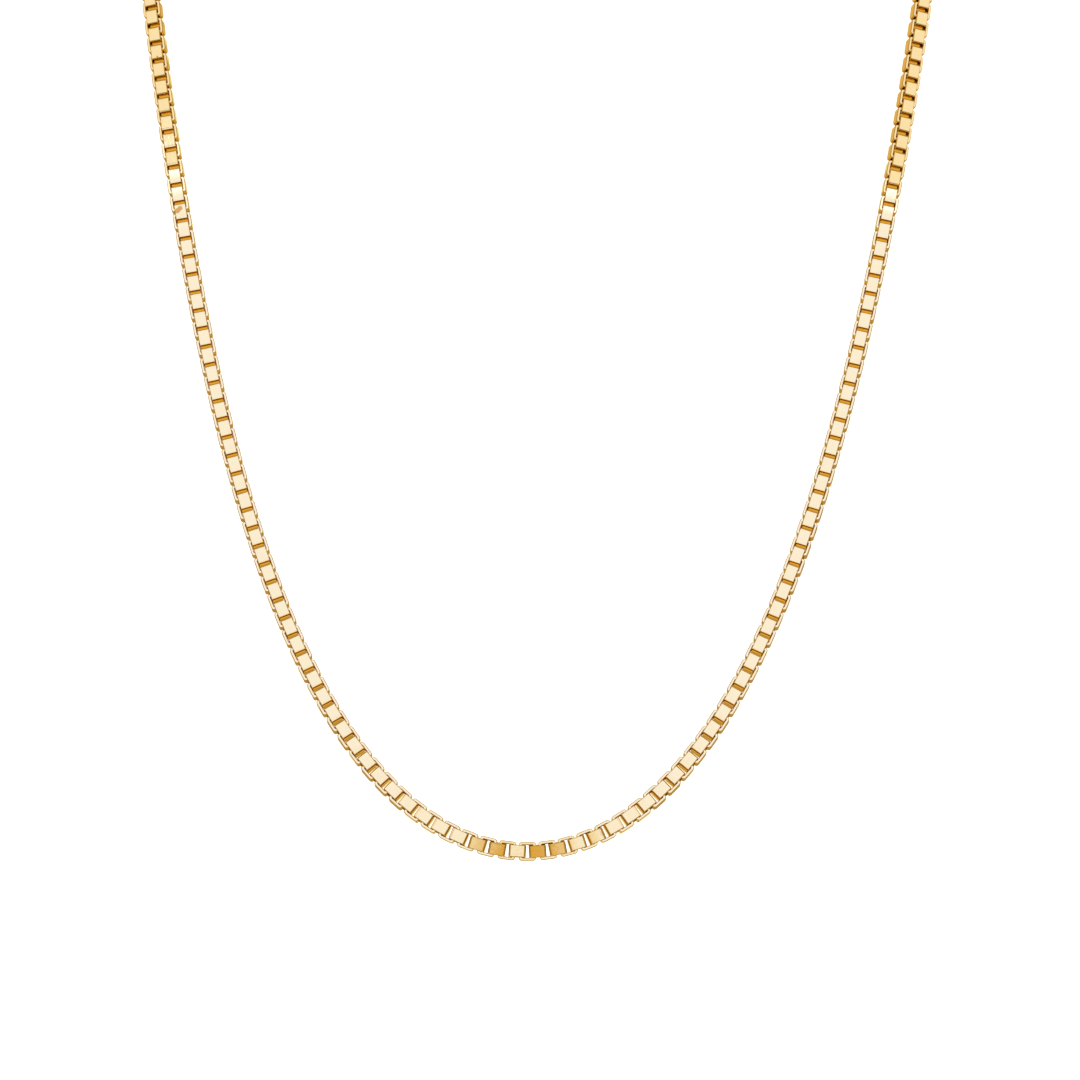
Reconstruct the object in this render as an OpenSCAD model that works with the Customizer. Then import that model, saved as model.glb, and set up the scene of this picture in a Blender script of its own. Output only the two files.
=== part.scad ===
// Box chain necklace in yellow gold, in millimetres.
//
// Every link is a short square tube, bent from a flat strip, and each link is
// turned a quarter about the chain's line from the one before it, so that its
// end wall lies inside the next link's opening.
//
// The origin is at the nape, where the necklace's inner side rests on the neck.
// +Z is up, -Y is the front, and the chain hangs down in front of the neck.
// A length along the chain, called q, runs from the lowest link up one side.

/* [Link] */
// Height of a link, across the chain
link_h = 2.4; // [2.2:0.05:2.6]
// Length of a link, along the chain
link_l = 2.18; // [2.14:0.02:2.3]
// Thickness of the strip that a link is bent from
strip_t = 0.34; // [0.3:0.01:0.36]
// Rounding of a link's four outer corners
corner_r = 0.16; // [0.12:0.02:0.3]
// Rounding of a link's four inner corners
inner_r = 0.06; // [0.04:0.02:0.1]
// Play between the end walls of two links when the chain is pulled straight
end_play = 0.15; // [0.14:0.01:0.2]
// Play between a link and each side wall of the link that it passes through
side_play = 0.17; // [0.15:0.01:0.2]

/* [Hanging front] */
// Length of chain from the lowest link to where it turns over the shoulder
hang_q = 142; // [125:1:160]
// Radius of the curve at the lowest link, the constant of its catenary
sag_r = 20.9; // [18:0.1:26]
// Angle by which the hanging front leans back, in degrees
lean = 15.5; // [5:0.5:25]

/* [Back of the neck] */
// Distance from the shoulder line back to the nape
nape_depth = 34; // [30:1:50]
// Height of the nape above the shoulder line
nape_rise = 24; // [18:1:30]
// How far the chain keeps its upward line at the shoulder
shoulder_pull = 24; // [20:1:30]
// How far the chain keeps its level line at the nape
nape_pull = 38; // [34:1:46]
// Length along the chain at which its face starts to turn outward
turn_q = 112; // [100:1:120]
// Length of chain over which its face turns from the front to the back
turn_len = 104; // [90:1:104]

/* [Clasp] */
// Distance between the two places where the jump rings seat
seat_span = 11; // [9:0.5:14]
// Thickness of the clasp, from the neck outward
clasp_t = 2; // [1.6:0.1:2.4]
// Diameter of the opening of the hook
hook_d = 3.4; // [2.8:0.1:4]
// Width of the metal round the hook's opening
hook_wall = 0.9; // [0.6:0.1:1.4]
// Diameter of the eye at the tail
eye_d = 1.5; // [1.4:0.1:2]
// Width of the metal round the eye
eye_wall = 0.7; // [0.5:0.1:1]

/* [Jump rings] */
// Inner diameter of a jump ring
ring_d = 3.4; // [3.3:0.1:4]
// Diameter of the wire of a jump ring
wire_d = 0.6; // [0.5:0.05:0.65]
// Clearance between a jump ring and the walls that it holds
ring_play = 0.12; // [0.1:0.01:0.14]

/* [Hidden] */
$fn = 48;

// Links on each side of the lowest one that the front node holds
front_links = 117;
// Links at each end of the chain that are real links behind the tube
end_links = 2;
// Chords that the curve round the back is measured with
back_steps = 60;
// Spacing of the tube's rings, in link heights
tube_step = 2;
// Gap between the tube and the real link beside it
tube_gap = 0.3;

gold = "#E8C078";
pale_gold = "#F0D49A";

// Width of the strip, which just passes through the next link's opening
strip_w = link_h - 2 * strip_t - 2 * side_play;
// Pitch of the chain when it is pulled straight
pitch = link_l - 2 * strip_t - end_play;

// Distance from the neck to the line that runs through the middle of the links
rest_y = link_h / 2;

// Clasp and ring places, from the middle of the clasp outward
ring_in = ring_d / 2 - ring_play;
seat_x = seat_span / 2;
ring_x = seat_x + sqrt(ring_in * ring_in - clasp_t * clasp_t / 4);
wall_x = ring_x + sqrt(ring_in * ring_in - strip_w * strip_w / 4);
last_x = wall_x + link_l / 2 - strip_t;

function asinh(t) = ln(t + sqrt(t * t + 1));
function unit(v) = v / norm(v);
function smooth(t) = let (u = max(0, min(1, t))) u * u * (3 - 2 * u);

// The front hangs in a catenary, in a plane that leans back.
// Its points are measured here from the lowest link.
leaning_up = [0, sin(lean), cos(lean)];
front_face = [0, -cos(lean), sin(lean)];
function hang_from_low(q) =
    [sag_r * asinh(q / sag_r), 0, 0] + (sqrt(sag_r * sag_r + q * q) - sag_r) * leaning_up;
function hang_dir(q) = unit([sag_r, 0, 0] + q * leaning_up);

// The shoulder line's and the lowest link's places, once the nape is at the origin
shoulder_from_low = hang_from_low(hang_q);
shoulder_y = rest_y - nape_depth;
lowest = [0, shoulder_y - shoulder_from_low[1], -nape_rise - shoulder_from_low[2]];

// Round the back runs one cubic curve from the shoulder to the last link.
bend = [
    lowest + shoulder_from_low,
    lowest + shoulder_from_low + shoulder_pull * hang_dir(hang_q),
    [last_x + nape_pull, rest_y, 0],
    [last_x, rest_y, 0]
];
function back_at(t) =
    pow(1 - t, 3) * bend[0] + 3 * pow(1 - t, 2) * t * bend[1]
    + 3 * (1 - t) * t * t * bend[2] + pow(t, 3) * bend[3];
function back_dir(t) =
    unit(pow(1 - t, 2) * (bend[1] - bend[0]) + 2 * (1 - t) * t * (bend[2] - bend[1])
    + t * t * (bend[3] - bend[2]));
back_chords = [
    for (k = [1 : back_steps]) norm(back_at(k / back_steps) - back_at((k - 1) / back_steps))
];
back_table = [
    for (k = 0, q = 0; k <= back_steps; q = q + (k < back_steps ? back_chords[k] : 0), k = k + 1)
        [q, k / back_steps]
];
back_q = back_table[back_steps][0];

// Links from the lowest one to the last one on a side, always an even number,
// so that the last link's opening faces the way that its jump ring passes.
last_q = hang_q + back_q;
links = 2 * round(last_q / pitch / 2);
spacing = last_q / links;

// A link's place, line and outward face for the length q up the right side
function place_at(q) =
    q <= hang_q ? lowest + hang_from_low(q) : back_at(lookup(q - hang_q, back_table));
function line_at(q) = q <= hang_q ? hang_dir(q) : back_dir(lookup(q - hang_q, back_table));
function face_at(q) =
    let (
        p = place_at(q),
        turned = smooth((q - turn_q) / turn_len),
        outward = unit([p[0], p[1] - shoulder_y, 0]),
        wanted = (1 - turned) * front_face + turned * outward,
        line = line_at(q)
    )
    unit(wanted - (wanted * line) * line);

// Columns of a frame on the chain: along the chain, across it, and its outward face.
// A negative q is on the left side, the right side's mirror image.
function flip(v, s) = [s * v[0], v[1], v[2]];
function frame_at(q) =
    let (
        s = q < 0 ? -1 : 1,
        along = s * flip(line_at(abs(q)), s),
        face = flip(face_at(abs(q)), s)
    )
    [along, cross(face, along), face, flip(place_at(abs(q)), s)];

module on_chain(q) {
    f = frame_at(q);
    multmatrix([for (r = [0 : 2]) [f[0][r], f[1][r], f[2][r], f[3][r]]]) children();
}

module rounded_box(length, height, radius) {
    square([length - 2 * radius, height], center = true);
    square([length, height - 2 * radius], center = true);
    for (x = [-1, 1], y = [-1, 1])
        translate([x * (length / 2 - radius), y * (height / 2 - radius)]) circle(r = radius);
}

// One link, with its opening along Z and its length along X
module link() {
    linear_extrude(strip_w, center = true)
        difference() {
            rounded_box(link_l, link_h, corner_r);
            rounded_box(link_l - 2 * strip_t, link_h - 2 * strip_t, inner_r);
        }
}

// Link number i, counted from the lowest one. Odd links show their flat front.
module chain_link(i) {
    on_chain(i * spacing) rotate([i % 2 == 0 ? 0 : 90, 0, 0]) link();
}

module chain_front() {
    color(gold) for (i = [-front_links : front_links]) chain_link(i);
}

// Eight-sided outline that both ways of a link fill
half_w = strip_w / 2;
half_h = link_h / 2;
tube_outline = [
    [half_h, -half_w], [half_h, half_w], [half_w, half_h], [-half_w, half_h],
    [-half_h, half_w], [-half_h, -half_w], [-half_w, -half_h], [half_w, -half_h]
];
tube_sides = len(tube_outline);

// Tube along the chain between two lengths, which stands for the hidden links
module tube(from_q, to_q) {
    rings = ceil(abs(to_q - from_q) / (tube_step * link_h));
    points = [
        for (k = [0 : rings])
            let (f = frame_at(from_q + (to_q - from_q) * k / rings))
                for (c = tube_outline) f[3] + c[0] * f[1] + c[1] * f[2]
    ];
    sides = [
        for (k = [0 : rings - 1], j = [0 : tube_sides - 1])
            let (
                a = k * tube_sides + j,
                b = k * tube_sides + (j + 1) % tube_sides
            )
                each [[a, b + tube_sides, b], [a, a + tube_sides, b + tube_sides]]
    ];
    near_end = [for (j = [0 : tube_sides - 1]) j];
    far_end = [for (j = [0 : tube_sides - 1]) (rings + 1) * tube_sides - 1 - j];
    polyhedron(points, concat(sides, [near_end, far_end]), convexity = 4);
}

module chain_back() {
    tube_from = front_links * spacing + link_l / 2 + tube_gap;
    tube_to = (links - end_links + 1) * spacing - link_l / 2 - tube_gap;
    color(gold) {
        tube(tube_from, tube_to);
        tube(-tube_to, -tube_from);
        for (i = [links - end_links + 1 : links]) {
            chain_link(i);
            chain_link(-i);
        }
    }
}

module jump_ring() {
    color(pale_gold)
        rotate_extrude() translate([ring_d / 2 + wire_d / 2, 0]) circle(d = wire_d);
}

module jump_ring_left() {
    translate([-ring_x, rest_y, 0]) jump_ring();
}

module jump_ring_right() {
    translate([ring_x, rest_y, 0]) jump_ring();
}

// Clasp, closed, with its hook to the right and its eye to the left
hook_r = hook_d / 2 + hook_wall;
eye_r = eye_d / 2 + eye_wall;
hook_x = seat_x - hook_d / 2;
eye_x = -seat_x + eye_d / 2;
taper = acos((hook_r - eye_r) / (hook_x - eye_x));

module clasp() {
    color(pale_gold)
        translate([0, rest_y, 0]) rotate([90, 0, 0])
            linear_extrude(clasp_t, center = true)
                difference() {
                    union() {
                        translate([hook_x, 0]) circle(r = hook_r);
                        translate([eye_x, 0]) circle(r = eye_r);
                        polygon([
                            [hook_x - hook_r * cos(taper), hook_r * sin(taper)],
                            [eye_x - eye_r * cos(taper), eye_r * sin(taper)],
                            [eye_x - eye_r * cos(taper), -eye_r * sin(taper)],
                            [hook_x - hook_r * cos(taper), -hook_r * sin(taper)]
                        ]);
                    }
                    translate([hook_x, 0]) circle(d = hook_d);
                    translate([eye_x, 0]) circle(d = eye_d);
                }
}

chain_front();
chain_back();
jump_ring_left();
jump_ring_right();
clasp();
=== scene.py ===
"""A box chain necklace in yellow gold: its real links, jump rings and clasp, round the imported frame."""
import math
import random
from collections import namedtuple

import bmesh
import bpy
from mathutils import Matrix, Vector


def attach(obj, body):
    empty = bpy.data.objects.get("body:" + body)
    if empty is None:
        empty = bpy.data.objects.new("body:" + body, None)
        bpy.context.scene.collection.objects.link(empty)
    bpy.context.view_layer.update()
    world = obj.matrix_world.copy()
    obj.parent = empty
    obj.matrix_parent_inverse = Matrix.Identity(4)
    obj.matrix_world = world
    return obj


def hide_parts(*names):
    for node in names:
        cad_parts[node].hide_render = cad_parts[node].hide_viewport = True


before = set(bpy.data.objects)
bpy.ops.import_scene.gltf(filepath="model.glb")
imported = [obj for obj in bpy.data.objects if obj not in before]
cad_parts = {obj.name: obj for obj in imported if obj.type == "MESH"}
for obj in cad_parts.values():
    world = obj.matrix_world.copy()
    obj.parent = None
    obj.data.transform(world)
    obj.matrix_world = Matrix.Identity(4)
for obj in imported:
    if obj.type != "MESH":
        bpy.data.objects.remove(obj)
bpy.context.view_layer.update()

bl_info = {
    "name": "Box Chain Necklace",
    "version": (1, 0, 0),
    "blender": (4, 5, 0),
    "location": "View3D > Sidebar > Necklace",
    "description": "Builds a gold box chain link by link, with its jump rings, clasp and studio",
    "category": "Add Mesh",
}

MM = 0.001

# Link 0 is the lowest one, and links are numbered up each side, with numbers below 0 on the left.
# The route's two sides mirror each other. Odd links show their flat front, and even ones an edge.
LINKS_A_SIDE = 160
FRONT_LINKS = 117
# Chords that the curve round the back of the neck is measured with
BACK_CHORDS = 60

# Turn of the links about the chain's line, out from the inside of the U: rows of a length in mm up the side
# and a turn in degrees. The lowest links turn their faces towards the camera in this way, and both strands
# turn outward on their way up to the shoulders.
TWIST_LEFT = [(0, 9), (7, 9), (19, 0), (103, 0), (110, 2.5), (122, 6), (128, 7), (136, 10), (142, 12)]
TWIST_RIGHT = [
    (0, 9), (7, 9), (19, 0), (50, -1), (62, -4), (74, -2), (98, -2), (104, 0), (114, 5),
    (119, 13.5), (138, 14.5), (142, 15),
]

# Slip of the chain along its line to the viewer's right: rows of a length to the right and a slip, in mm
SLIP = [
    (-206, 0), (-142, 0.66), (-110, 0.60), (-60, 0.50), (-10, 0.40),
    (10, 0.40), (60, 0.50), (110, 0.60), (142, 0.66), (206, 0),
]

# Slip of the edge-on links up between the others: rows of a length up the side and a slip, in mm
EDGE_ON_SLIP = [(0, 0), (22, 0.12), (105, 0.12), (118, 0), (206, 0)]

# Links that hang a little turned about the chain's line, by number, in degrees
HANGING_TURN = {-5: 2.4, -3: 4.2, 1: 5.8, 3: 4.9, 5: 1.1, 7: 3.1}
# Play lets every link turn by chance as well, up to this many degrees either way.
LOOSE_TURN = 0.9
SHAKE_SEED = 5

# Patterns on the gold, in mm: how large its smudges and slight waves are, how far apart its hairlines are,
# and how deep the waves and the hairlines go
SMUDGE_SIZE = 0.6
WAVE_SIZE = 0.4
WAVE_DEPTH = 0.006
HAIRLINE_GAP = 0.05
HAIRLINE_DEPTH = 0.01
# Hairlines are drawn out along Z, so that they vary this much as fast that way.
HAIRLINE_DRAW = 0.12
# Rise in roughness under the smudges and inside the links
SMUDGE_DULLING = 0.05
INSIDE_DULLING = 0.3

# Tarnish spots on the left strand: rows of a place and a radius, in mm
TARNISH = [((-49.28, -42.7, -54.9), 0.36), ((-49.6, -42.8, -55.25), 0.38), ((-53.3, -36.6, -33.1), 0.15)]
# Parts of its radius that a spot's outline wanders by, and where its colour is full and where it ends
SPOT_WANDER = 0.5
SPOT_FULL = 0.6
SPOT_END = 0.85

# Sides and steps of the round pieces. A jump ring's solder seam is at its step furthest from the neck.
WIRE_SIDES = 16
RING_STEPS = 60
SEAM_STEP = 15
CLASP_SIDES = 88
OPENING_SIDES = 56

# Places nearer to each other than this, in metres, are the same.
CLOSE = 0.001 * MM
# A face points along an axis where its normal has more than ALONG of it, and across it with less than ACROSS.
ALONG = 0.9
ACROSS = 0.1
# Edges that turn by less than this look round.
ROUND_ANGLE = math.radians(40)

# Width of the camera's sensor, in mm
SENSOR_WIDTH = 36
# The middle of the hanging front, which the softboxes face
LIGHTS_AIM = Vector((0, -0.065, -0.09))

# Softboxes round the chain. Azimuth 0 is the front and 90 the right, angles are in degrees and lengths in
# metres, and the share is of the key softbox's brightness. What a link mirrors to the camera depends on how
# it hangs: the strands' flat fronts mirror the front softbox, and lower links the panels below it.
Softbox = namedtuple("Softbox", "name azimuth elevation distance width height share tint")
SOFTBOXES = [
    Softbox("front softbox", 0, 48, 0.75, 0.46, 0.73, 1.0, (0.212, 0.343, 1.0)),
    Softbox("front panel", 0, 13.1, 0.774, 0.46, 0.237, 1.0, (0.214, 0.338, 0.92)),
    Softbox("front fill", 0, 2.5, 0.784, 0.46, 0.054, 0.55, (0.36, 0.49, 1.0)),
    Softbox("low fill", 0, -1.7, 0.787, 0.46, 0.06, 0.28, (0.58, 0.66, 1.0)),
    Softbox("camera wall", 0, -8.7, 0.794, 0.46, 0.135, 0.12, (1.0, 0.65, 0.08)),
    Softbox("left wing", -35, 31, 1.0, 0.5, 0.44, 0.6, (0.35, 0.48, 1.0)),
    Softbox("right wing", 35, 31, 1.0, 0.5, 0.44, 0.6, (0.35, 0.48, 1.0)),
    Softbox("left back wall", -141, 10, 1.0, 0.9, 0.6, 0.12, (1.0, 0.85, 0.68)),
    Softbox("right back wall", 141, 10, 1.0, 0.9, 0.6, 0.12, (1.0, 0.85, 0.68)),
    Softbox("rear wall", 180, 7.5, 1.0, 0.42, 1.04, 0.22, (0.8, 1.0, 0.84)),
    Softbox("rear low panel", 180, -62, 1.0, 1.3, 0.5, 0.3, (0.9, 0.95, 1.0)),
]

# The room's light by the height of the direction that it is seen in, from -1, straight down, to 1, straight
# up: warm brown, and a little paler overhead. Its colours are linear.
ROOM_TONES = [
    (-1.0, (0.44, 0.34, 0.16, 1)), (-0.45, (0.52, 0.40, 0.17, 1)), (0.0, (0.44, 0.34, 0.16, 1)),
    (0.6, (0.48, 0.38, 0.19, 1)), (1.0, (0.50, 0.40, 0.22, 1)),
]


def linear(hex_colour):
    """Linear colour of an sRGB hex colour, with its alpha."""
    parts = [int(hex_colour[i:i + 2], 16) / 255 for i in (1, 3, 5)]
    return tuple(p / 12.92 if p <= 0.04045 else ((p + 0.055) / 1.055) ** 2.4 for p in parts) + (1.0,)


def add_node(tree, kind, settings=None, inputs=None, links=None):
    """Adds a node with its settings, its sockets' values and the links into it."""
    node = tree.nodes.new(kind)
    for name, value in (settings or {}).items():
        setattr(node, name, value)
    for name, value in (inputs or {}).items():
        node.inputs[name].default_value = value
    for name, socket in (links or {}).items():
        tree.links.new(socket, node.inputs[name])
    return node


def length(name, about, default, low=0.0):
    """A length that a user can change, given in mm and held in metres."""
    return bpy.props.FloatProperty(
        name=name, description=about, default=default * MM, min=low * MM, unit="LENGTH", precision=5)


def colour(name, about, hex_colour):
    """A colour that a user can change, given as an sRGB hex colour."""
    return bpy.props.FloatVectorProperty(
        name=name, description=about, subtype="COLOR", size=4, min=0, max=1, default=linear(hex_colour))


class ChainSizes(bpy.types.PropertyGroup):
    """Sizes of one link, and the route that the chain hangs on."""
    link_height: length("Link height", "Height of a link, across the chain", 2.52)
    link_length: length("Link length", "Length of a link, along the chain", 2.32)
    strip_thickness: length("Strip thickness", "Thickness of the strip that a link is bent from", 0.42)
    strip_width: length("Strip width", "Width of the strip, which is the width of a link's flat front", 1.64)
    outer_corner: length("Outer corner", "Rounding of the bends on their outside", 0.33)
    inner_corner: length("Inner corner", "Rounding of the bends on their inside", 0.06)
    outer_bevel: length("Outer bevel", "Bevel that polishing leaves on the strip's outer edges", 0.09)
    inner_bevel: length("Inner bevel", "Bevel on the strip's inner edges", 0.085)
    rest_height: length("Rest height", "Distance from the neck to the chain's middle line", 1.2)
    hang_length: length("Hanging length", "Chain from the lowest link to the shoulder", 142)
    sag_radius: length("Sag radius", "Radius of the curve at the lowest link", 20.9)
    lean: bpy.props.FloatProperty(
        name="Lean", description="Angle by which the hanging front leans back",
        default=math.radians(15.5), unit="ROTATION")
    nape_depth: length("Nape depth", "Distance from the shoulder line back to the nape", 34)
    nape_rise: length("Nape rise", "Height of the nape above the shoulder line", 24)
    shoulder_pull: length("Shoulder pull", "How far the chain keeps its upward line at the shoulder", 24)
    nape_pull: length("Nape pull", "How far the chain keeps its level line at the nape", 38)
    turn_start: length("Turn start", "Length of chain at which its face starts to turn outward", 112)
    turn_length: length("Turn length", "Length of chain over which its face turns outward", 104)
    last_link: length("Last link", "Distance from the middle of the clasp to the last link", 8.8946)


class FindingSizes(bpy.types.PropertyGroup):
    """Sizes of the clasp and of the jump rings."""
    seat_span: length("Seat span", "Distance between the places where the jump rings seat", 11)
    clasp_thickness: length("Clasp thickness", "Thickness of the clasp, from the neck outward", 2)
    hook_opening: length("Hook opening", "Diameter of the opening of the hook", 3.4)
    hook_wall: length("Hook wall", "Width of the metal round the hook's opening", 0.9)
    eye_opening: length("Eye opening", "Diameter of the opening of the eye", 1.5)
    eye_wall: length("Eye wall", "Width of the metal round the eye", 0.7)
    clasp_bevel: length("Clasp bevel", "Rounding of the clasp's edges", 0.32)
    ring_opening: length("Ring opening", "Inner diameter of a jump ring", 3.4)
    ring_wire: length("Ring wire", "Diameter of the wire of a jump ring", 0.6)
    ring_place: length("Ring place", "Distance from the middle of the clasp to a jump ring", 6.7233)
    rest_height: length("Rest height", "Distance from the neck to the middle of the clasp and the rings", 1.2)


class GoldFinish(bpy.types.PropertyGroup):
    """Colours and polish of the gold."""
    chain_colour: colour("Chain colour", "Colour of the polished chain, straight on", "#F3CF7E")
    finding_colour: colour("Finding colour", "Colour of the polished clasp and rings, straight on", "#F4D187")
    glancing_colour: colour("Glancing colour", "Tint of what the gold mirrors at a glancing angle", "#FFF1CE")
    smudge_colour: colour("Smudge colour", "Tint of the gold where finger grease dulls it", "#FBF8F3")
    # The edge and inside colours are painted shade, where shade falls between the links: they darken the
    # edges of the openings a little and the walls inside them more.
    edge_shade_colour: colour("Edge colour", "Colour of the edges round a link's opening", "#DC9E3C")
    inside_shade_colour: colour("Inside colour", "Colour of the painted shade inside the links", "#90631F")
    tarnish_colour: colour("Tarnish colour", "Colour of the few dull spots", "#CE913C")
    chain_roughness: bpy.props.FloatProperty(
        name="Chain roughness", description="Roughness of the tumble-polished links",
        default=0.07, min=0, max=1)
    finding_roughness: bpy.props.FloatProperty(
        name="Finding roughness", description="Roughness of the hand-polished clasp and rings",
        default=0.09, min=0, max=1)


class StudioSettings(bpy.types.PropertyGroup):
    """Camera, softboxes and the white sweep."""
    camera_lens: bpy.props.FloatProperty(
        name="Lens", description="Focal length of the camera", default=133.333, unit="CAMERA")
    camera_x: length("Camera X", "Camera to the right of the middle", 1.53, -100)
    camera_y: length("Camera Y", "Place of the camera from the nape, below 0 in front of it", -600.4, -2000)
    camera_z: length("Camera Z", "Camera height, from the nape", -100.5, -2000)
    camera_roll: bpy.props.FloatProperty(
        name="Camera roll", description="Turn of the camera about its own axis",
        default=math.radians(0.76), unit="ROTATION")
    sweep_radius: length("Sweep radius", "Radius of the round white sweep", 2600)
    sweep_height: length("Sweep height", "Height of the white sweep", 3600)
    sweep_curve: length("Sweep curve", "Radius of the sweep's curve from its floor to its wall", 500)
    floor_drop: length("Floor drop", "Floor below the nape", 215)
    paper_colour: colour("Paper colour", "Colour of the sweep's paper", "#F4F4F4")
    key_strength: bpy.props.FloatProperty(
        name="Key softbox", description="Brightness of the large softbox in front and above", default=3.0)
    room_strength: bpy.props.FloatProperty(
        name="Room", description="Brightness of the room that the gold mirrors", default=1.0)


SETTINGS = {
    "chain_sizes": ChainSizes,
    "finding_sizes": FindingSizes,
    "gold_finish": GoldFinish,
    "studio_settings": StudioSettings,
}


def back_to_objects():
    """Leaves edit mode, with nothing selected."""
    if bpy.context.object and bpy.context.object.mode != "OBJECT":
        bpy.ops.object.mode_set(mode="OBJECT")
    bpy.ops.object.select_all(action="DESELECT")


def start_edit():
    """Enters edit mode on the active object, with nothing selected."""
    bpy.ops.object.mode_set(mode="EDIT")
    bpy.ops.mesh.select_all(action="DESELECT")


def pick(kind, test):
    """Selects the faces, edges or verts of the mesh in edit mode that pass a test, and no others."""
    mesh = bpy.context.object.data
    bm = bmesh.from_edit_mesh(mesh)
    bpy.ops.mesh.select_mode(type={"faces": "FACE", "edges": "EDGE", "verts": "VERT"}[kind])
    bpy.ops.mesh.select_all(action="DESELECT")
    bm.normal_update()
    for part in getattr(bm, kind):
        if test(part):
            part.select_set(True)
    bm.select_flush_mode()
    bmesh.update_edit_mesh(mesh)


def face_outward():
    """Turns all faces of the closed mesh in edit mode outwards."""
    bpy.ops.mesh.select_all(action="SELECT")
    bpy.ops.mesh.normals_make_consistent(inside=False)


def finish_piece(obj, name, material, replaced):
    """Names a piece, puts its place into its mesh, gives it its metal and ties it to the frame."""
    bpy.ops.object.select_all(action="DESELECT")
    bpy.context.view_layer.objects.active = obj
    obj.select_set(True)
    bpy.ops.object.transform_apply(location=True, rotation=True, scale=True)
    obj.name = name
    obj.data.name = name
    obj.data.materials.clear()
    obj.data.materials.append(material)
    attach(obj, "root")
    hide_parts(replaced)
    obj.select_set(False)


def between(table, at):
    """Value of a table of (place, value) rows at a place, along straight lines."""
    for (a, low), (b, high) in zip(table, table[1:]):
        if at <= b:
            return low + (high - low) * (at - a) / (b - a)
    return table[-1][1]


class Route:
    """The chain's route, from the same sizes as the CAD model, in metres."""

    def __init__(self, sizes):
        self.sizes = sizes
        self.up = Vector((0, math.sin(sizes.lean), math.cos(sizes.lean)))
        self.front = Vector((0, -math.cos(sizes.lean), math.sin(sizes.lean)))
        self.shoulder_y = sizes.rest_height - sizes.nape_depth
        rise = self.hang(sizes.hang_length)
        self.lowest = Vector((0, self.shoulder_y - rise.y, -sizes.nape_rise - rise.z))
        top = self.lowest + rise
        last = Vector((sizes.last_link, sizes.rest_height, 0))
        self.bend = [
            top,
            top + sizes.shoulder_pull * self.hang_line(sizes.hang_length),
            last + Vector((sizes.nape_pull, 0, 0)),
            last,
        ]
        points = [self.back(k / BACK_CHORDS) for k in range(BACK_CHORDS + 1)]
        self.table = [(0.0, 0.0)]
        for k in range(BACK_CHORDS):
            so_far = self.table[-1][0] + (points[k + 1] - points[k]).length
            self.table.append((so_far, (k + 1) / BACK_CHORDS))
        self.spacing = (sizes.hang_length + self.table[-1][0]) / LINKS_A_SIDE

    def hang(self, q):
        """Place on the hanging catenary at a length up the right side, from the lowest link."""
        r = self.sizes.sag_radius
        return Vector((r * math.asinh(q / r), 0, 0)) + (math.hypot(r, q) - r) * self.up

    def hang_line(self, q):
        """Direction of the hanging catenary at a length up the right side."""
        return (Vector((self.sizes.sag_radius, 0, 0)) + q * self.up).normalized()

    def back(self, t):
        """Place on the cubic curve round the back, from 0 at the shoulder to 1 at the last link."""
        a, b, c, d = self.bend
        u = 1 - t
        return u ** 3 * a + 3 * u * u * t * b + 3 * u * t * t * c + t ** 3 * d

    def back_line(self, t):
        """Direction of the cubic curve round the back."""
        a, b, c, d = self.bend
        u = 1 - t
        return (u * u * (b - a) + 2 * u * t * (c - b) + t * t * (d - c)).normalized()

    def on_right(self, q):
        """Place, line and outward face at a length up the right side."""
        if q <= self.sizes.hang_length:
            place, line = self.lowest + self.hang(q), self.hang_line(q)
        else:
            t = between(self.table, q - self.sizes.hang_length)
            place, line = self.back(t), self.back_line(t)
        u = max(0.0, min(1.0, (q - self.sizes.turn_start) / self.sizes.turn_length))
        turned = u * u * (3 - 2 * u)
        outward = Vector((place.x, place.y - self.shoulder_y, 0)).normalized()
        wanted = (1 - turned) * self.front + turned * outward
        return place, line, (wanted - wanted.dot(line) * line).normalized()

    def already_turned(self, q):
        """How far the route's own face has turned about the chain's line at a length, in radians."""
        _, line, face = self.on_right(abs(q))
        front = (self.front - self.front.dot(line) * line).normalized()
        return math.acos(max(-1.0, min(1.0, front.dot(face))))

    def frame_at(self, q, turn):
        """Frame of a link: along the chain, across it, its outward face, and its place.

        A negative length is on the left side.
        """
        place, line, face = self.on_right(abs(q))
        side = -1 if q < 0 else 1
        flip = Vector((side, 1, 1))
        along, face, place = side * line * flip, face * flip, place * flip
        across = face.cross(along)
        axes = Matrix((along, across, face)).transposed().to_4x4()
        return Matrix.Translation(place) @ axes @ Matrix.Rotation(turn, 4, "X")


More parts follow.
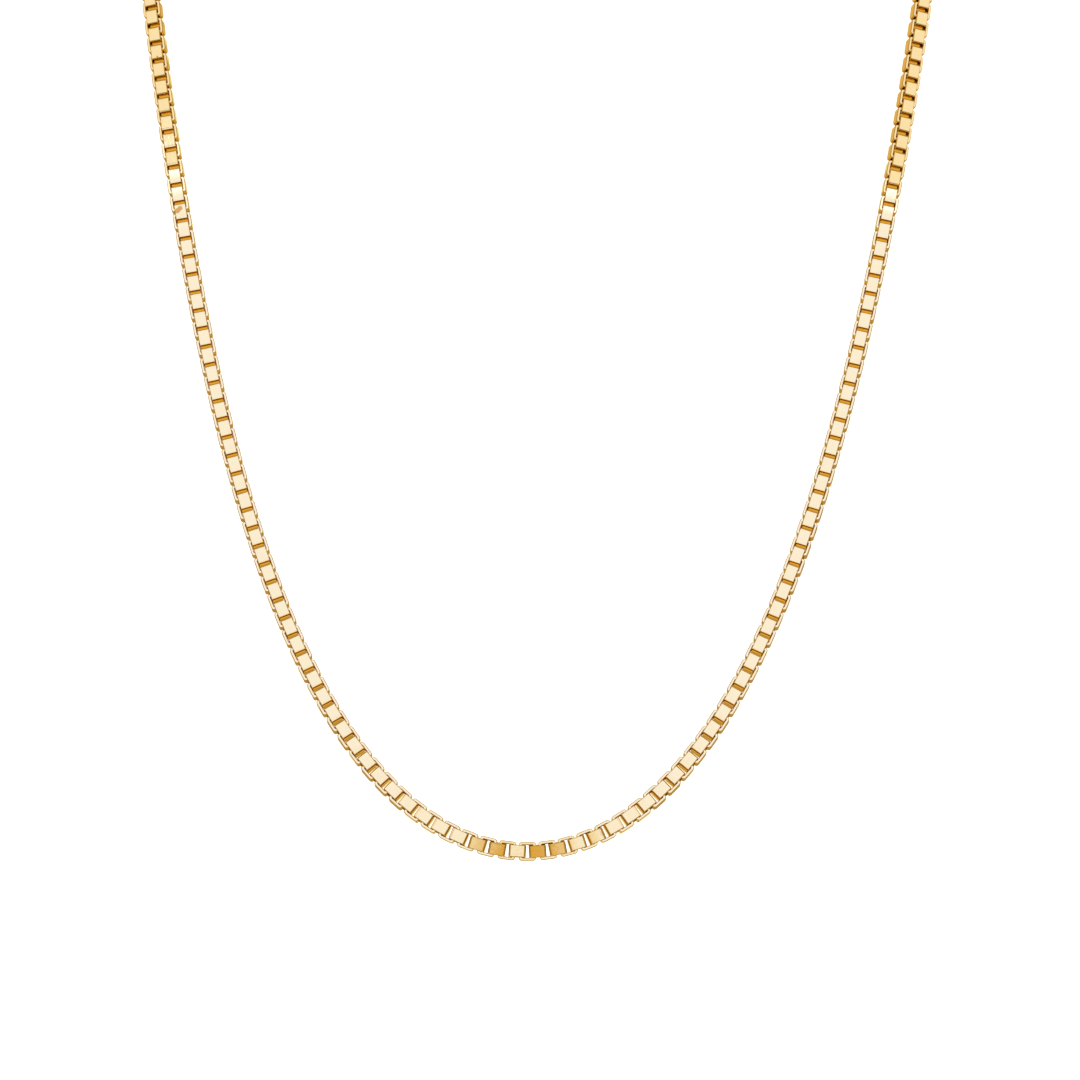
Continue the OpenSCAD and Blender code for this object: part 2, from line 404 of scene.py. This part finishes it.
def polished_gold(name, tone, roughness, finish, spots=()):
    """18-carat yellow gold, an alloy of gold, silver and copper.

    Polishing leaves it a bright warm mirror, whose tone is a little blotchy where finger grease dulls it,
    with fine hairlines that only soften what it mirrors. It stays yellow at a glancing angle, where it would
    otherwise mirror without any tint. Inside the links, which the polish doesn't reach, the gold is rougher.
    Its colour is darkened by painted shade on the walls inside the links, and a little less on the edges of
    the openings, where shade falls between the links. A few spots are tarnished.
    """
    material = bpy.data.materials.new(name)
    material.use_nodes = True
    tree = material.node_tree
    tree.nodes.clear()
    place = add_node(tree, "ShaderNodeTexCoord").outputs["Object"]
    # The inside marks lead to painted shade in the gold's colour and to a rougher polish.
    inside = add_node(tree, "ShaderNodeAttribute", {"attribute_name": "inside"}).outputs["Fac"]
    smudges = add_node(
        tree, "ShaderNodeTexNoise",
        inputs={"Scale": 1 / (SMUDGE_SIZE * MM), "Detail": 3.0, "Roughness": 0.55},
        links={"Vector": place}).outputs["Fac"]
    dull = add_node(
        tree, "ShaderNodeMapRange",
        inputs={"From Min": 0.35, "From Max": 0.7, "To Min": roughness, "To Max": roughness + SMUDGE_DULLING},
        links={"Value": smudges})
    polish = add_node(
        tree, "ShaderNodeMath", {"operation": "MULTIPLY_ADD"}, inputs={1: INSIDE_DULLING},
        links={0: inside, 2: dull.outputs["Result"]})
    metal = add_node(
        tree, "ShaderNodeBsdfPrincipled",
        inputs={"Metallic": 1.0, "Specular Tint": finish.glancing_colour},
        links={
            "Base Color": gold_shade(tree, tone, finish, spots, place, inside, smudges),
            "Roughness": polish.outputs["Value"],
            "Normal": mop_marks(tree, place),
        })
    add_node(tree, "ShaderNodeOutputMaterial", links={"Surface": metal.outputs["BSDF"]})
    return material


def gold_shade(tree, tone, finish, spots, place, inside, smudges):
    """Colour of the gold: its tone under the smudges, the edges and insides of the links, and the tarnish."""
    shade = add_node(
        tree, "ShaderNodeMixRGB", {"blend_type": "MULTIPLY"},
        inputs={"Color1": tone, "Color2": finish.smudge_colour}, links={"Fac": smudges})
    # The attribute goes from 0 on the outside, over 0.5 on the openings' edges, to 1 on their walls. It mixes
    # in
    # painted shade: the edges' colour first, then the darker colour of the walls inside.
    for start, shaded in ((0.0, finish.edge_shade_colour), (0.5, finish.inside_shade_colour)):
        share = add_node(
            tree, "ShaderNodeMapRange", inputs={"From Min": start, "From Max": start + 0.5},
            links={"Value": inside})
        shade = add_node(
            tree, "ShaderNodeMixRGB", inputs={"Color2": shaded},
            links={"Fac": share.outputs["Result"], "Color1": shade.outputs["Color"]})
    for spot, radius in spots:
        away = add_node(
            tree, "ShaderNodeVectorMath", {"operation": "DISTANCE"},
            inputs={1: [c * MM for c in spot]}, links={0: place})
        ragged = add_node(
            tree, "ShaderNodeMath", {"operation": "MULTIPLY_ADD"}, inputs={1: -SPOT_WANDER * radius * MM},
            links={0: smudges, 2: away.outputs["Value"]})
        within = add_node(
            tree, "ShaderNodeMapRange",
            inputs={"From Min": SPOT_FULL * radius * MM, "From Max": SPOT_END * radius * MM,
                    "To Min": 1.0, "To Max": 0.0},
            links={"Value": ragged.outputs["Value"]})
        shade = add_node(
            tree, "ShaderNodeMixRGB", inputs={"Color2": finish.tarnish_colour},
            links={"Fac": within.outputs["Result"], "Color1": shade.outputs["Color"]})
    return shade.outputs["Color"]


def mop_marks(tree, place):
    """Normal of the gold, with the slight waves and the hairlines that a polishing mop leaves."""
    waves = add_node(
        tree, "ShaderNodeTexNoise", inputs={"Scale": 1 / (WAVE_SIZE * MM), "Detail": 2.0, "Roughness": 0.6},
        links={"Vector": place})
    wavy = add_node(
        tree, "ShaderNodeBump", inputs={"Strength": 1.0, "Distance": WAVE_DEPTH * MM},
        links={"Height": waves.outputs["Fac"]})
    # Real hairlines are too fine to show, so these are further apart.
    stretch = add_node(
        tree, "ShaderNodeMapping", inputs={"Scale": (1.0, 1.0, HAIRLINE_DRAW)}, links={"Vector": place})
    hairs = add_node(
        tree, "ShaderNodeTexNoise", inputs={"Scale": 1 / (HAIRLINE_GAP * MM), "Detail": 2.0},
        links={"Vector": stretch.outputs["Vector"]})
    return add_node(
        tree, "ShaderNodeBump", inputs={"Strength": 0.05, "Distance": HAIRLINE_DEPTH * MM},
        links={"Height": hairs.outputs["Fac"], "Normal": wavy.outputs["Normal"]}).outputs["Normal"]


def sweep_paper(tone):
    """Background paper, matt and white, which gives the eye a clean white with no shine and no edge."""
    material = bpy.data.materials.new("matt white paper")
    material.use_nodes = True
    tree = material.node_tree
    tree.nodes.clear()
    paper = add_node(
        tree, "ShaderNodeBsdfPrincipled",
        inputs={"Base Color": tone, "Roughness": 0.9, "Emission Color": linear("#FFFFFF"),
                "Emission Strength": 0.9})
    add_node(tree, "ShaderNodeOutputMaterial", links={"Surface": paper.outputs["BSDF"]})
    return material


def model_link(sizes):
    """One square tube link round the origin, with its length along X and its opening along Z."""
    back_to_objects()
    bpy.ops.mesh.primitive_cube_add(size=1)
    link = bpy.context.object
    link.name = "link_pattern"
    start_edit()
    bpy.ops.mesh.select_all(action="SELECT")
    bpy.ops.transform.resize(value=(sizes.link_length, sizes.link_height, sizes.strip_width))
    pick("faces", lambda f: abs(f.normal.z) > ALONG)
    bpy.ops.mesh.inset(thickness=sizes.strip_thickness, depth=0)
    bpy.ops.mesh.bridge_edge_loops()
    inner_x = sizes.link_length / 2 - sizes.strip_thickness
    inner_y = sizes.link_height / 2 - sizes.strip_thickness

    def bend(edge):
        a, b = (v.co for v in edge.verts)
        return abs(a.z - b.z) > sizes.strip_width / 2

    def inner_bend(edge):
        at = edge.verts[0].co
        return bend(edge) and abs(abs(at.x) - inner_x) < CLOSE and abs(abs(at.y) - inner_y) < CLOSE

    pick("edges", lambda e: bend(e) and not inner_bend(e))
    bpy.ops.mesh.bevel(offset=sizes.outer_corner, segments=2, affect="EDGES")
    pick("edges", inner_bend)
    bpy.ops.mesh.bevel(offset=sizes.inner_corner, segments=1, affect="EDGES")

    def outward(face):
        middle = face.calc_center_median()
        return face.normal.x * middle.x + face.normal.y * middle.y > 0

    def rim(edge, outer):
        walls = [f for f in edge.link_faces if abs(f.normal.z) < ACROSS]
        return len(walls) == 1 and outward(walls[0]) == outer

    pick("edges", lambda e: rim(e, True))
    bpy.ops.mesh.bevel(offset=sizes.outer_bevel, segments=1, affect="EDGES", loop_slide=False)
    pick("edges", lambda e: rim(e, False))
    bpy.ops.mesh.bevel(offset=sizes.inner_bevel, segments=1, affect="EDGES", loop_slide=False)
    face_outward()
    bpy.ops.object.mode_set(mode="OBJECT")
    bpy.ops.object.shade_smooth_by_angle(angle=ROUND_ANGLE)
    mark_inside(link)
    # Large faces keep their own normals, so that they mirror as flat ones do.
    weigh = link.modifiers.new("flat faces", "WEIGHTED_NORMAL")
    weigh.weight = 80
    weigh.keep_sharp = True
    bpy.ops.object.modifier_apply(modifier=weigh.name)
    return link


def mark_inside(link):
    """Marks the walls of the link's opening with 1, and the rounding of its edges with 0.5."""
    # These marks darken the gold with painted shade and make its polish rougher.
    marks = link.data.attributes.new("inside", "FLOAT", "FACE")
    for face in link.data.polygons:
        inward = face.normal.x * face.center.x + face.normal.y * face.center.y < -CLOSE
        if inward and abs(face.normal.z) < ALONG:
            marks.data[face.index].value = 1.0 if abs(face.normal.z) < ACROSS else 0.5


def lay_links(pattern, route, numbers):
    """Copies the pattern link to the given places on the route and joins the copies."""
    back_to_objects()
    shaker = random.Random(SHAKE_SEED)
    copies = []
    for number in numbers:
        q = number * route.spacing
        if abs(q / MM) < SLIP[-1][0]:
            q += between(SLIP, q / MM) * MM
        if number % 2 == 0:
            q += math.copysign(between(EDGE_ON_SLIP, abs(q / MM)), q) * MM
        twist = TWIST_LEFT if number < 0 else TWIST_RIGHT
        loose = shaker.uniform(-LOOSE_TURN, LOOSE_TURN)
        turn = math.radians(loose + HANGING_TURN.get(number, 0.0))
        if abs(q / MM) <= twist[-1][0]:
            turn += math.radians(between(twist, abs(q / MM))) - route.already_turned(q)
        quarter = 0.0 if number % 2 == 0 else math.pi / 2
        copy = pattern.copy()
        copy.data = pattern.data.copy()
        copy.matrix_world = route.frame_at(q, turn) @ Matrix.Rotation(quarter, 4, "X")
        bpy.context.collection.objects.link(copy)
        copy.select_set(True)
        copies.append(copy)
    bpy.context.view_layer.objects.active = copies[0]
    bpy.ops.object.join()
    return bpy.context.object


class NECKLACE_OT_front_links(bpy.types.Operator):
    """Lays the links of the hanging front"""
    bl_idname = "necklace.front_links"
    bl_label = "Front links"

    def execute(self, context):
        sizes, finish = context.scene.chain_sizes, context.scene.gold_finish
        gold = polished_gold(
            "tumble-polished yellow gold", finish.chain_colour, finish.chain_roughness, finish, TARNISH)
        pattern = model_link(sizes)
        joined = lay_links(pattern, Route(sizes), range(-FRONT_LINKS, FRONT_LINKS + 1))
        finish_piece(joined, "front_links", gold, "chain_front")
        bpy.data.objects.remove(pattern)
        return {"FINISHED"}


class NECKLACE_OT_back_links(bpy.types.Operator):
    """Lays the links round the back of the neck, up to the clasp"""
    bl_idname = "necklace.back_links"
    bl_label = "Back links"

    def execute(self, context):
        sizes = context.scene.chain_sizes
        gold = bpy.data.materials.get("tumble-polished yellow gold")
        if gold is None:
            raise RuntimeError("the front links come first, because their gold is used here")
        pattern = model_link(sizes)
        numbers = [n for n in range(-LINKS_A_SIDE, LINKS_A_SIDE + 1) if abs(n) > FRONT_LINKS]
        joined = lay_links(pattern, Route(sizes), numbers)
        finish_piece(joined, "back_links", gold, "chain_back")
        bpy.data.objects.remove(pattern)
        return {"FINISHED"}


class NECKLACE_OT_jump_rings(bpy.types.Operator):
    """Bends the two soldered jump rings, one as a copy of the other"""
    bl_idname = "necklace.jump_rings"
    bl_label = "Jump rings"

    def execute(self, context):
        sizes, finish = context.scene.finding_sizes, context.scene.gold_finish
        gold = polished_gold(
            "hand-polished yellow gold", finish.finding_colour, finish.finding_roughness, finish)
        back_to_objects()
        middle = sizes.ring_opening / 2 + sizes.ring_wire / 2
        bpy.ops.mesh.primitive_circle_add(
            vertices=WIRE_SIDES, radius=sizes.ring_wire / 2, location=(middle, 0, 0),
            rotation=(math.pi / 2, 0, 0))
        ring = context.object
        bpy.ops.object.transform_apply(location=True, rotation=True, scale=True)
        start_edit()
        bpy.ops.mesh.select_all(action="SELECT")
        bpy.ops.mesh.spin(steps=RING_STEPS, angle=math.tau, center=(0, 0, 0), axis=(0, 0, 1))
        bpy.ops.mesh.select_all(action="SELECT")
        bpy.ops.mesh.remove_doubles(threshold=CLOSE)
        # The solder stands a little proud on both sides of the seam, which is drawn in.
        for step, share in ((SEAM_STEP - 1, 1.05), (SEAM_STEP, 0.93), (SEAM_STEP + 1, 1.05)):
            at = math.tau * step / RING_STEPS
            way = Vector((math.cos(at), math.sin(at), 0))
            across = Vector((-way.y, way.x, 0))
            pick("verts", lambda v: abs(v.co.dot(across)) < CLOSE and v.co.dot(way) > 0)
            bpy.ops.transform.resize(value=(share, share, share), center_override=middle * way)
        face_outward()
        bpy.ops.object.mode_set(mode="OBJECT")
        bpy.ops.object.shade_smooth()
        other = ring.copy()
        other.data = ring.data.copy()
        context.collection.objects.link(other)
        for obj, side, name in ((ring, -1, "jump_ring_left"), (other, 1, "jump_ring_right")):
            obj.location = (side * sizes.ring_place, sizes.rest_height, 0)
            finish_piece(obj, name + "_wire", gold, name)
        return {"FINISHED"}


class NECKLACE_OT_clasp(bpy.types.Operator):
    """Shapes the closed clasp, with its hook to the right and its eye to the left"""
    bl_idname = "necklace.clasp"
    bl_label = "Clasp"

    def execute(self, context):
        sizes = context.scene.finding_sizes
        gold = bpy.data.materials.get("hand-polished yellow gold")
        if gold is None:
            raise RuntimeError("the jump rings come first, because their gold is used here")
        hook_x = sizes.seat_span / 2 - sizes.hook_opening / 2
        eye_x = sizes.eye_opening / 2 - sizes.seat_span / 2
        hook_r = sizes.hook_opening / 2 + sizes.hook_wall
        eye_r = sizes.eye_opening / 2 + sizes.eye_wall
        taper = math.acos((hook_r - eye_r) / (hook_x - eye_x))
        back_to_objects()
        # One disc is parted in two, and its halves become the hook's and the eye's round ends. A small margin
        # keeps what lies on the parting with the hook.
        bpy.ops.mesh.primitive_cylinder_add(
            vertices=CLASP_SIDES, radius=1.0, depth=sizes.clasp_thickness)
        clasp = context.object
        start_edit()
        hook_half = math.pi - taper + 0.01
        pick("verts", lambda v: math.acos(max(-1.0, min(1.0, v.co.x))) < hook_half)
        bpy.ops.transform.resize(value=(hook_r, hook_r, 1), center_override=(0, 0, 0))
        bpy.ops.transform.translate(value=(hook_x, 0, 0))
        bpy.ops.mesh.select_all(action="INVERT")
        bpy.ops.transform.resize(value=(eye_r, eye_r, 1), center_override=(0, 0, 0))
        bpy.ops.transform.translate(value=(eye_x, 0, 0))
        bpy.ops.object.mode_set(mode="OBJECT")
        for x, opening in ((hook_x, sizes.hook_opening), (eye_x, sizes.eye_opening)):
            self.drill(clasp, x, opening / 2, 2 * sizes.clasp_thickness)
        clasp.select_set(True)
        start_edit()
        pick("edges", lambda e: {round(abs(f.normal.z)) for f in e.link_faces} == {0, 1})
        bpy.ops.mesh.bevel(offset=sizes.clasp_bevel, segments=4, affect="EDGES")
        face_outward()
        bpy.ops.transform.rotate(value=math.pi / 2, orient_axis="X", center_override=(0, 0, 0))
        bpy.ops.transform.translate(value=(0, sizes.rest_height, 0))
        bpy.ops.object.mode_set(mode="OBJECT")
        bpy.ops.object.shade_smooth_by_angle(angle=ROUND_ANGLE)
        finish_piece(clasp, "closed_clasp", gold, "clasp")
        return {"FINISHED"}

    def drill(self, clasp, x, radius, depth):
        """Cuts a round opening through the clasp at a place along it."""
        bpy.ops.object.select_all(action="DESELECT")
        bpy.ops.mesh.primitive_cylinder_add(
            vertices=OPENING_SIDES, radius=radius, depth=depth, location=(x, 0, 0))
        bit = bpy.context.object
        bpy.context.view_layer.objects.active = clasp
        cut = clasp.modifiers.new("opening", "BOOLEAN")
        cut.object = bit
        cut.solver = "EXACT"
        bpy.ops.object.modifier_apply(modifier=cut.name)
        bpy.data.objects.remove(bit)


class NECKLACE_OT_stage(bpy.types.Operator):
    """Sets the camera, the white sweep, the softboxes and the room's light"""
    bl_idname = "necklace.stage"
    bl_label = "Stage"

    def execute(self, context):
        settings = context.scene.studio_settings
        back_to_objects()
        self.camera(context.scene, settings)
        self.sweep(settings)
        for softbox in SOFTBOXES:
            self.softbox(softbox, settings.key_strength)
        self.room(context.scene, settings.room_strength)
        context.scene.view_settings.view_transform = "Standard"
        return {"FINISHED"}

    def camera(self, scene, settings):
        """Stands the camera in front of the chain, above its lowest link, with a level view."""
        bpy.ops.object.camera_add()
        camera = bpy.context.object
        camera.name = "camera"
        camera.data.lens = settings.camera_lens
        camera.data.sensor_width = SENSOR_WIDTH
        camera.data.dof.use_dof = False
        place = Matrix.Translation((settings.camera_x, settings.camera_y, settings.camera_z))
        level = Matrix.Rotation(math.pi / 2, 4, "X")
        camera.matrix_world = place @ level @ Matrix.Rotation(settings.camera_roll, 4, "Z")
        scene.camera = camera

    def sweep(self, settings):
        """Sets up the sweep, whose white the gold doesn't mirror, so that its dark edges stay dark."""
        bpy.ops.mesh.primitive_cylinder_add(
            vertices=96, radius=settings.sweep_radius, depth=settings.sweep_height,
            location=(0, 0, settings.sweep_height / 2 - settings.floor_drop))
        sweep = bpy.context.object
        sweep.name = "sweep"
        start_edit()
        pick("edges", lambda e: all(v.co.z < 0 for v in e.verts))
        bpy.ops.mesh.bevel(offset=settings.sweep_curve, segments=12, affect="EDGES")
        bpy.ops.mesh.select_all(action="SELECT")
        bpy.ops.mesh.flip_normals()
        bpy.ops.object.mode_set(mode="OBJECT")
        bpy.ops.object.shade_smooth()
        sweep.data.materials.append(sweep_paper(settings.paper_colour))
        sweep.visible_glossy = False
        sweep.visible_diffuse = False
        sweep.visible_shadow = False

    def softbox(self, box, key):
        """An area light that faces the chain."""
        azimuth, elevation = math.radians(box.azimuth), math.radians(box.elevation)
        way = Vector((
            math.sin(azimuth) * math.cos(elevation),
            -math.cos(azimuth) * math.cos(elevation),
            math.sin(elevation),
        ))
        bpy.ops.object.light_add(type="AREA", location=LIGHTS_AIM + box.distance * way)
        light = bpy.context.object
        light.name = box.name
        light.rotation_euler = way.to_track_quat("Z", "Y").to_euler()
        light.data.shape = "RECTANGLE"
        light.data.size = box.width
        light.data.size_y = box.height
        light.data.color = box.tint
        # With this energy its face is as bright as the key's share says, whatever its size.
        light.data.energy = key * box.share * math.pi * box.width * box.height
        light.visible_camera = False

    def room(self, scene, strength):
        """Lights the room that the gold mirrors between the softboxes."""
        world = bpy.data.worlds.new("room")
        world.use_nodes = True
        scene.world = world
        tree = world.node_tree
        way = add_node(tree, "ShaderNodeTexCoord").outputs["Generated"]
        parts = add_node(tree, "ShaderNodeSeparateXYZ", links={"Vector": way})
        share = add_node(
            tree, "ShaderNodeMapRange", inputs={"From Min": -1.0, "From Max": 1.0},
            links={"Value": parts.outputs["Z"]})
        ramp = add_node(tree, "ShaderNodeValToRGB", links={"Fac": share.outputs["Result"]})
        stops = ramp.color_ramp.elements
        stops[0].color, stops[1].color = ROOM_TONES[0][1], ROOM_TONES[-1][1]
        for at, tone in ROOM_TONES[1:-1]:
            stops.new((at + 1) / 2).color = tone
        background = tree.nodes["Background"]
        tree.links.new(ramp.outputs["Color"], background.inputs["Color"])
        background.inputs["Strength"].default_value = strength


OPERATORS = [
    NECKLACE_OT_front_links,
    NECKLACE_OT_back_links,
    NECKLACE_OT_jump_rings,
    NECKLACE_OT_clasp,
    NECKLACE_OT_stage,
]


class NECKLACE_PT_panel(bpy.types.Panel):
    """Lists the pieces in the order that they are made in"""
    bl_label = "Box Chain Necklace"
    bl_idname = "NECKLACE_PT_panel"
    bl_space_type = "VIEW_3D"
    bl_region_type = "UI"
    bl_category = "Necklace"

    def draw(self, context):
        for operator in OPERATORS:
            self.layout.operator(operator.bl_idname)


def register():
    """Registers the settings, the operators and the panel."""
    for group in SETTINGS.values():
        bpy.utils.register_class(group)
    for name, group in SETTINGS.items():
        setattr(bpy.types.Scene, name, bpy.props.PointerProperty(type=group))
    for part in OPERATORS + [NECKLACE_PT_panel]:
        bpy.utils.register_class(part)


def unregister():
    """Takes back what register did, in the opposite order."""
    for part in reversed(OPERATORS + [NECKLACE_PT_panel]):
        bpy.utils.unregister_class(part)
    for name in SETTINGS:
        delattr(bpy.types.Scene, name)
    for group in reversed(list(SETTINGS.values())):
        bpy.utils.unregister_class(group)


def main():
    """Makes the pieces and the stage."""
    register()
    bpy.ops.necklace.front_links()
    bpy.ops.necklace.back_links()
    bpy.ops.necklace.jump_rings()
    bpy.ops.necklace.clasp()
    bpy.ops.necklace.stage()


if __name__ == "__main__":
    main()
